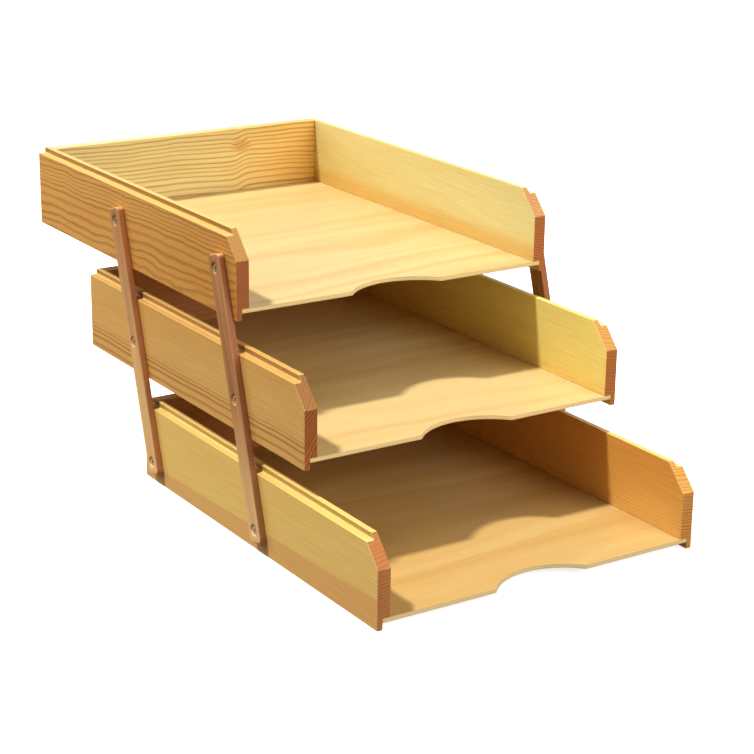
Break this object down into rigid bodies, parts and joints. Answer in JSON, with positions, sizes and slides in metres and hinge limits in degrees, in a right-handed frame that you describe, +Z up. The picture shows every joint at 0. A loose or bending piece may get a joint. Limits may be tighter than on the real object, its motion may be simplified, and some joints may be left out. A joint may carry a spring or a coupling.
{
  "type": "tiered letter tray stack",
  "caption": "Open-fronted wooden letter trays hung between swinging side slats, staggered like steps for paper and folding forward into a flush stack.",
  "frame": {"origin": "on the table, at the middle of the width and of the whole length with the trays opened out", "axes": "+Z up, +Y to the rear along the trays, +X to the right seen from the open fronts"},
  "size_m": [0.2728, 0.5038, 0.2199],
  "materials": {
    "pine_side": "clear satin varnish on straight and wavy pine grain",
    "pine_back": "clear satin varnish on figured pine",
    "birch_plywood": "clear satin varnish on pale plywood",
    "beech_slat": "oiled pinkish-brown beech",
    "brass_screw": "tarnished brass",
    "beech_dowel": "bare beech",
    "steel_pin": "bright drawn steel"
  },
  "bodies": {
    "bottom_tray": {"bottom_left_side": "pine_side", "bottom_right_side": "pine_side", "bottom_back_board": "pine_back", "bottom_base_panel": "birch_plywood", "bottom_corner_dowels": "beech_dowel", "bottom_base_pins": "steel_pin", "bottom_front_left_screw": "brass_screw", "bottom_rear_left_screw": "brass_screw", "bottom_front_right_screw": "brass_screw", "bottom_rear_right_screw": "brass_screw"},
    "middle_tray": {"middle_left_side": "pine_side", "middle_right_side": "pine_side", "middle_back_board": "pine_back", "middle_base_panel": "birch_plywood", "middle_corner_dowels": "beech_dowel", "middle_base_pins": "steel_pin", "middle_front_left_screw": "brass_screw", "middle_rear_left_screw": "brass_screw", "middle_front_right_screw": "brass_screw", "middle_rear_right_screw": "brass_screw"},
    "top_tray": {"top_left_side": "pine_side", "top_right_side": "pine_side", "top_back_board": "pine_back", "top_base_panel": "birch_plywood", "top_corner_dowels": "beech_dowel", "top_base_pins": "steel_pin", "top_front_left_screw": "brass_screw", "top_rear_left_screw": "brass_screw", "top_front_right_screw": "brass_screw", "top_rear_right_screw": "brass_screw"},
    "front_left_slat_arm": {"front_left_slat": "beech_slat"},
    "front_right_slat_arm": {"front_right_slat": "beech_slat"},
    "rear_left_slat_arm": {"rear_left_slat": "beech_slat"},
    "rear_right_slat_arm": {"rear_right_slat": "beech_slat"}
  },
  "joints": [
    {"name": "fold", "type": "hinge", "parent": "bottom_tray", "child": "front_left_slat_arm", "pos_m": [-0.1338, -0.10291, 0.0177], "axis": [1, 0, 0], "range_deg": [-27.8, 60.8]},
    {"name": "middle_tray_level", "type": "hinge", "parent": "front_left_slat_arm", "child": "middle_tray", "pos_m": [-0.1338, -0.077, 0.10516], "axis": [1, 0, 0], "range_deg": [-60.8, 27.8]},
    {"name": "top_tray_level", "type": "hinge", "parent": "front_left_slat_arm", "child": "top_tray", "pos_m": [-0.1338, -0.05109, 0.19263], "axis": [1, 0, 0], "range_deg": [-60.8, 27.8]},
    {"name": "front_right_swing", "type": "hinge", "parent": "bottom_tray", "child": "front_right_slat_arm", "pos_m": [0.1338, -0.10291, 0.0177], "axis": [1, 0, 0], "range_deg": [-27.8, 60.8]},
    {"name": "rear_left_swing", "type": "hinge", "parent": "bottom_tray", "child": "rear_left_slat_arm", "pos_m": [-0.1338, 0.05209, 0.0177], "axis": [1, 0, 0], "range_deg": [-27.8, 60.8]},
    {"name": "rear_right_swing", "type": "hinge", "parent": "bottom_tray", "child": "rear_right_slat_arm", "pos_m": [0.1338, 0.05209, 0.0177], "axis": [1, 0, 0], "range_deg": [-27.8, 60.8]}
  ],
  "couplings": [
    {"joint": "middle_tray_level", "follows": "fold", "ratio": -1},
    {"joint": "top_tray_level", "follows": "fold", "ratio": -1},
    {"joint": "front_right_swing", "follows": "fold", "ratio": 1},
    {"joint": "rear_left_swing", "follows": "fold", "ratio": 1},
    {"joint": "rear_right_swing", "follows": "fold", "ratio": 1}
  ]
}
